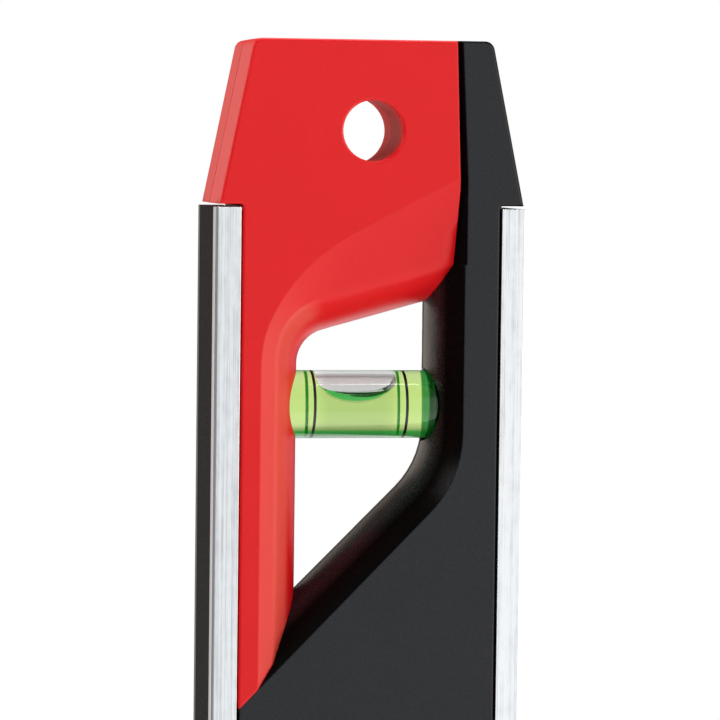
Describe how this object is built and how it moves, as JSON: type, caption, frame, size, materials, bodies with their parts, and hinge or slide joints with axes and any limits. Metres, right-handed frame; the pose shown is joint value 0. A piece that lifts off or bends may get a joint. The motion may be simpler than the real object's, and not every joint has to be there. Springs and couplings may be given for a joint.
{
  "type": "pocket spirit level",
  "caption": "Short two-colour plastic spirit level with aluminium measuring rails, a magnetic edge, a plumb vial in a slanted window, a level vial and a hanging hole.",
  "frame": {"origin": "centre of the lower end face, at the bottom of the object's box", "axes": "+Z along the level towards the end with the hanging hole; +X across it from the magnetic edge to the plain edge; +Y through its thickness, away from the front face"},
  "size_m": [0.05, 0.02, 0.25],
  "materials": {
    "red_plastic": "satin, fine moulded grain",
    "black_plastic": "satin, fine moulded grain",
    "rail_aluminium": "milled, fine lines along the length",
    "magnet": "matte, speckled",
    "vial_acrylic": "clear, polished, yellow-green",
    "vial_liquid": "clear yellow-green liquid",
    "vial_plug": "clear, polished, yellow-green",
    "ring_mark": "satin black"
  },
  "bodies": {
    "root": {"red_front_half": "red_plastic", "red_rear_half": "red_plastic", "black_front_half": "black_plastic", "black_rear_half": "black_plastic", "plain_rail": "rail_aluminium", "magnetic_rail": "rail_aluminium", "magnet_strip": "magnet", "plumb_vial_body": "vial_acrylic", "plumb_vial_liquid": "vial_liquid", "plumb_vial_plug": "vial_plug", "plumb_vial_ring_1": "ring_mark", "plumb_vial_ring_2": "ring_mark", "level_vial_body": "vial_acrylic", "level_vial_liquid": "vial_liquid", "level_vial_plug": "vial_plug", "level_vial_ring_1": "ring_mark", "level_vial_ring_2": "ring_mark"}
  },
  "joints": []
}
